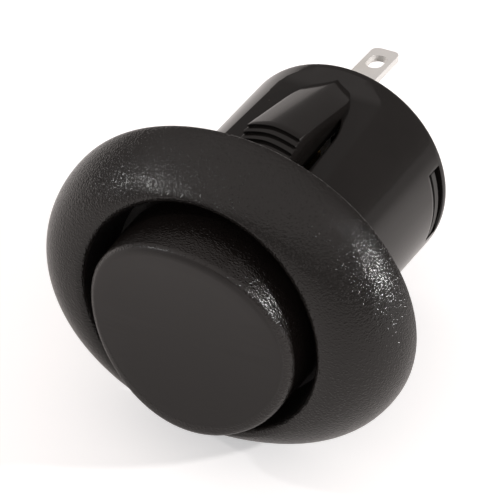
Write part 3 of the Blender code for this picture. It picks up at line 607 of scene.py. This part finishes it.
def roundSocket(loop):  # the loop of a pivot socket becomes a circle on the wall
    v = housingShape
    radius, centre = v["socket"]
    for vert in {vert for edge in loop for vert in edge.verts}:
        inside = vert.co.xz.length < v["wallMiddle"]
        away = Vector((vert.co.y - centre, vert.co.z)).normalized() * radius
        y, z = centre + away.x, away.y
        wall = v["cavity"] if inside else barrelRadius(y)
        vert.co = (math.copysign(math.sqrt(wall ** 2 - z ** 2), vert.co.x), y, z)


def border(faces):  # the edges with one of these faces on one side only
    own = set(faces)
    return [edge for face in faces for edge in face.edges if sum(f in own for f in edge.link_faces) == 1]


def cutOpenings(bm):  # through the wall: slots round the clips, latch windows and pivot sockets
    names = ("top slot", "foot slot", "right window", "left window", "right socket", "left socket")
    gone = {name: [] for name in names}
    for face in bm.faces:
        name = openingAt(face.calc_center_median())
        if name:
            gone[name].append(face)
    loops = {name: border(faces) for name, faces in gone.items()}
    roundSocket(loops["right socket"])
    roundSocket(loops["left socket"])
    bmesh.ops.delete(bm, geom=[face for faces in gone.values() for face in faces], context="FACES_ONLY")
    for loop in loops.values():
        bmesh.ops.bridge_loops(bm, edges=loop)
    bmesh.ops.delete(bm, geom=[edge for edge in bm.edges if not edge.link_faces], context="EDGES")
    bmesh.ops.delete(bm, geom=[vert for vert in bm.verts if not vert.link_edges], context="VERTS")
    bmesh.ops.recalc_face_normals(bm, faces=bm.faces)


def isRim(edge):  # an edge of the barrel that is rounded
    v = housingShape
    fromY, fromRadius = v["edgeFrom"]
    socketY, socketZ = v["socketEdges"]
    if len(edge.link_faces) != 2 or edge.calc_face_angle(0) <= math.radians(v["edgeAngle"]):
        return False
    ends = [vert.co for vert in edge.verts]
    if max(end.xz.length for end in ends) <= fromRadius:
        return False
    return all(end.y > fromY and (end.y > socketY or abs(end.z) > socketZ) for end in ends)


def makeHousing():
    v = housingShape
    columns = 4 * sum(v["columns"])
    fronts = [columnPlace(column, v["tubeFront"], v["flat"], slotWidth(0.0)) for column in range(columns)]
    angles = [math.atan2(z, x) for x, z in fronts]
    sections = [bezelSection(angle) for angle in angles]
    barrel = barrelRings()
    bezelRings = len(sections[0])
    bm, layer = spinRings(bezelRings + len(barrel), columns)
    for vert in bm.verts:
        column = round(math.atan2(vert.co.z, vert.co.x) / math.tau * columns) % columns
        ring = vert[layer]
        if ring < bezelRings:
            angle = angles[column]
            radius, y = sections[column][ring]
            vert.co = (radius * math.cos(angle), y, radius * math.sin(angle))
        else:
            y, radius, inner = barrel[ring - bezelRings]
            x, z = columnPlace(column, radius, flatHeight(y, inner), slotWidth(y))
            vert.co = (x, y, z)
    cutOpenings(bm)
    roundEdges(bm, [edge for edge in bm.edges if isRim(edge)], v["edgeSoft"])
    return housingPiece("housingShell", bm)


# the two snap clips, in millimetres
clipShape = {
    "halfWidth": 2.9,
    "top": 13.05,
    "crown": 0.65,
    "crownPower": 1.7,  # roundness of the roof at the front
    "crownRidge": 0.35,  # and how much it loses towards the rear
    "front": 8.5,
    "end": 22.9,
    "slope": 0.1480,
    "steps": 7,
    "stepRun": 0.85,
    "stepDrop": 0.36,
    "undercut": 0.16,
    "straightRows": 9,
    "rearRound": 4.4,  # length over which the rear end narrows
    "rearRows": 9,
    "rearTurn": 84.0,  # degrees of the round that are drawn
    "across": 16,
    "tip": 2.3,
    "footLift": 0.3,  # above the inside of the flat
    "soft": 0.07,
    "softAngle": 40.0,
    "sideSlack": 0.01,  # a face is on a side wall within this
}


def clipRows():  # (y, height) along the clip from its free end to its back
    v = clipShape
    rows = []
    for i in range(v["steps"], 0, -1):
        height = v["top"] - v["stepDrop"] * i
        start = v["tip"] if i == v["steps"] else v["front"] - v["stepRun"] * i
        rows.append((start, height))
        rows.append((v["front"] - v["stepRun"] * (i - 1) + v["undercut"], height))
    rows.append((v["front"], v["top"]))
    straight = v["end"] - v["rearRound"] - v["front"]
    places = [v["front"] + straight * i / v["straightRows"] for i in range(1, v["straightRows"] + 1)]
    for i in range(1, v["rearRows"] + 1):
        turn = math.radians(v["rearTurn"] * i / v["rearRows"])
        places.append(v["end"] - v["rearRound"] * (1 - math.sin(turn)))
    rows += [(y, v["top"] - v["slope"] * (y - v["front"])) for y in places]
    return rows


def clipRoof(bm, layer):  # a grid bent to the clip's roof
    v = clipShape
    rows = clipRows()
    bmesh.ops.create_grid(bm, x_segments=v["across"], y_segments=len(rows) - 1, size=1.0)
    for vert in bm.verts:
        row = round((vert.co.y + 1) / 2 * (len(rows) - 1))
        share = round(vert.co.x * v["across"] / 2) / (v["across"] / 2)
        vert[layer] = row
        y, height = rows[row]
        back = min(max((y - v["front"]) / (v["end"] - v["front"]), 0.0), 1.0)
        crown = v["crown"] * (1 - abs(share) ** (v["crownPower"] - v["crownRidge"] * back))
        past = min(max((y - v["end"]) / v["rearRound"] + 1, 0.0), 1.0)
        width = v["halfWidth"] * math.sqrt(1 - past ** 2)
        vert.co = (share * width, y, height + crown)


def joinStepWalls(bm, layer, feet):  # under and beside the steps, each wall becomes one face
    v = clipShape
    lastRow = 2 * v["steps"] + 1
    nearSide = v["halfWidth"] - v["sideSlack"]
    toothed = [face for face in bm.faces if all(vert[layer] <= lastRow for vert in face.verts)]
    under = [face for face in toothed if all(vert in feet for vert in face.verts)]
    left, right = ([face for face in toothed if all(side * vert.co.x > nearSide for vert in face.verts)]
                   for side in (-1, 1))
    for faces in (under, left, right):
        bmesh.ops.dissolve_faces(bm, faces=faces, use_verts=True)


def makeClips():
    v = clipShape
    bm = bmesh.new()
    layer = bm.verts.layers.int.new("row")
    clipRoof(bm, layer)
    made = bmesh.ops.extrude_face_region(bm, geom=list(bm.faces))
    feet = [item for item in made["geom"] if isinstance(item, bmesh.types.BMVert)]
    for vert in feet:
        vert.co.z = flatHeight(min(vert.co.y, housingShape["slotRear"]), True) + v["footLift"]
    joinStepWalls(bm, layer, feet)
    bmesh.ops.recalc_face_normals(bm, faces=bm.faces)
    softAngle = math.radians(v["softAngle"])
    hard = [edge for edge in bm.edges if edge.is_manifold and edge.calc_face_angle(0) > softAngle]
    roundEdges(bm, hard, v["soft"])
    bmesh.ops.mirror(bm, geom=list(bm.verts) + list(bm.edges) + list(bm.faces), axis="Z", merge_dist=-1.0)
    return housingPiece("snapClips", bm)


# tags and base, in millimetres
tagShape = {"edge": 0.09}
baseShape = {
    "edge": 0.06,
    "barbFrom": 11.2,  # what is further out, within barbHalf of the window's middle, is a barb
    "barbHalf": 5.0,
    "barbReach": 12.12,
}


def makeTags():
    softened("load_terminal", "loadTag", tagShape["edge"] * mm)
    softened("line_terminal", "lineTag", tagShape["edge"] * mm)


def makeBase():  # its barbs reach further out than the CAD's
    v = baseShape
    base = softened("terminal_base", "latchBase", v["edge"] * mm)
    for vert in base.data.vertices:
        away = vert.co.xz.length / mm
        if away > v["barbFrom"] and abs(vert.co.z) < v["barbHalf"] * mm:
            grown = v["barbReach"] / away
            vert.co.x *= grown
            vert.co.z *= grown


def makeSpring():  # a copy of the spring on a mesh of its own; the share it would shorten by is worked out but not used
    low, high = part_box("plunger_spring")
    joints = {joint["name"]: joint for joint in frame["record"]["behaviour"]["joints"]}
    slide = joints["plunger_slide"]
    coil = softened("plunger_spring", "coilSpring", 0.0)
    1 - slide["range_m"][1] / (high.y - low.y)
    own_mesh(coil)


def dressNode(name):  # a CAD node that is shown as it is
    node = frame["nodes"][name]
    node.data.materials.clear()
    node.data.materials.append(finishes[slots[name]])


print("housing")
makeHousing()
makeClips()
print("other pieces")
softened("rocker", "rockerCap", 0.0)
makeTags()
makeBase()
makeSpring()
for nodeName in ("plunger", "contact_blade", "moving_contact", "fixed_contact"):
    dressNode(nodeName)

# table the switch lies on
tableLook = {
    "halfSize": 3.0,
    "slope": math.atan2(5.1, 31.0),
    "touch": (-0.5 * mm, -17.55 * mm),  # y and z of the line where the bezel's edge meets it
    "colour": (0.84, 0.82, 0.81),
    "weaveScale": 900.0,
    "weaveDark": 0.99,
    "lift": (0.385, 0.395, 0.405),  # how much whiter it shows itself to the camera
    "far": 0.08,  # painted glow that only reflections see, behind the switch
    "farPlace": (-10 * mm, 40 * mm),
    "paintedReflectionShade": (0.20, 0.65),  # painted shade that only reflections see: share of the colour lost far behind, to the left and to the right
    "paintedReflectionShadeBack": (20 * mm, 100 * mm),
    "paintedReflectionShadeAcross": (20 * mm, 90 * mm),
}
black = (0.0, 0.0, 0.0)
white = (1.0, 1.0, 1.0)


def makeTablePaper():
    v = tableLook
    f = Finish("tablePaper", Roughness=0.9, Specular_IOR_Level=0.2, Emission_Strength=1.0)
    mirrored = f.ray("Glossy")
    # painted shade: reflections see the table darker far behind the switch, more so to the right
    paintedReflectionShade = mirrored * f.y.ramp(*v["paintedReflectionShadeBack"]) * f.x.ramp(*v["paintedReflectionShadeAcross"], *v["paintedReflectionShade"])
    weave = f.noise(v["weaveScale"], detail=3.0)
    paper = f.blend(weave, v["colour"], lighter(v["colour"], v["weaveDark"]))
    # painted glow: reflections see the table glow behind the switch, less where the painted shade lies
    far = mirrored * (1 - paintedReflectionShade) * f.y.ramp(*v["farPlace"], 0.0, v["far"])
    glow = f.blend(f.ray("Camera"), f.blend(far, black, white), v["lift"])
    # the paper, darkened by the painted shade in reflections, glowing with the lift and the painted glow
    f.set(Base_Color=f.blend(paintedReflectionShade, paper, black), Emission_Color=glow)
    return f.material


def makeTable():
    v = tableLook
    touchY, touchZ = v["touch"]
    bm = bmesh.new()
    bmesh.ops.create_grid(bm, x_segments=8, y_segments=8, size=v["halfSize"])
    bmesh.ops.rotate(bm, verts=bm.verts, cent=(0, 0, 0), matrix=Matrix.Rotation(v["slope"], 3, "X"))
    bmesh.ops.translate(bm, verts=bm.verts, vec=(0, 0, touchZ - touchY * math.tan(v["slope"])))
    mesh = bpy.data.meshes.new("table")
    bm.to_mesh(mesh)
    bm.free()
    table = bpy.data.objects.new("table", mesh)
    bpy.context.scene.collection.objects.link(table)
    mesh.materials.append(makeTablePaper())


# round lamps that face the switch, in metres and watts
keyLamp = {"toward": (-0.72, -0.42, 0.55), "distance": 0.40, "size": 0.020, "power": 0.24}
sideLamp = {"toward": (0.91, 0.20, 0.35), "distance": 0.40, "size": 0.020, "power": 1.0}


def makeLamp(name, v):
    light = bpy.data.lights.new(name, "AREA")
    light.shape = "DISK"
    light.size = v["size"]
    light.energy = v["power"]
    lamp = bpy.data.objects.new(name, light)
    bpy.context.scene.collection.objects.link(lamp)
    direction = Vector(v["toward"]).normalized()
    lamp.location = direction * v["distance"]
    lamp.rotation_euler = direction.to_track_quat("Z", "Y").to_euler()


# room round the table; heights and depths are parts of a direction
roomLook = {
    "glow": 0.78,
    "tint": (1.0, 0.93, 0.90),
    "horizon": 0.85,
    "horizonHeight": (-0.05, 0.25),
    "behind": 0.36,  # the horizon straight behind the switch
    "behindDepth": (0.40, 0.70),
    "overhead": 0.25,
    "ceiling": 0.60,  # added overhead and in front
    "ceilingHeight": (0.30, 0.75),
    "ceilingDepth": (0.85, -0.10),
}


def makeWorld():  # white to the camera, and in reflections bright at the horizon and dim above
    v = roomLook
    world = bpy.data.worlds.new("studio")
    bpy.context.scene.world = world
    world.use_nodes = True
    sky = Nodes(world.node_tree)
    depth, height = sky.parts(sky.node("TexCoord", {}, {}, "Generated"))[1:]
    camera = sky.ray("Camera")
    glossy = sky.ray("Glossy")
    ceiling = height.ramp(*v["ceilingHeight"]) * depth.ramp(*v["ceilingDepth"]) * v["ceiling"]
    horizon = depth.ramp(*v["behindDepth"], v["horizon"], v["behind"])
    room = height.ramp(*v["horizonHeight"], horizon, v["overhead"]) + ceiling
    background = sky.tree.nodes["Background"]
    plug(background.inputs["Color"], sky.blend(camera, v["tint"], white))
    plug(background.inputs["Strength"], camera + glossy * room + (1 - camera.larger(glossy)) * v["glow"])


# camera, fitted to the photograph's outlines
viewpoint = {
    "sensor": 36.0,
    "lens": 144.0,
    "place": (0.07755, -0.13975, 0.11664),
    "forward": (-0.3888, 0.7193, -0.5757),
    "right": (0.8797, 0.4755, 0.0),
}


def makeCamera():
    v = viewpoint
    data = bpy.data.cameras.new("camera")
    data.sensor_width = v["sensor"]
    data.lens = v["lens"]
    camera = bpy.data.objects.new("camera", data)
    bpy.context.scene.collection.objects.link(camera)
    forward = Vector(v["forward"]).normalized()
    right = Vector(v["right"]).normalized()
    up = right.cross(forward).normalized()
    turn = Matrix((right, up, -forward)).transposed()
    camera.matrix_world = Matrix.Translation(Vector(v["place"])) @ turn.to_4x4()
    bpy.context.scene.camera = camera


print("studio")
makeTable()
makeLamp("keyLamp", keyLamp)
makeLamp("sideLamp", sideLamp)
makeWorld()
makeCamera()
bpy.context.scene.view_settings.view_transform = "Standard"

print("finished")
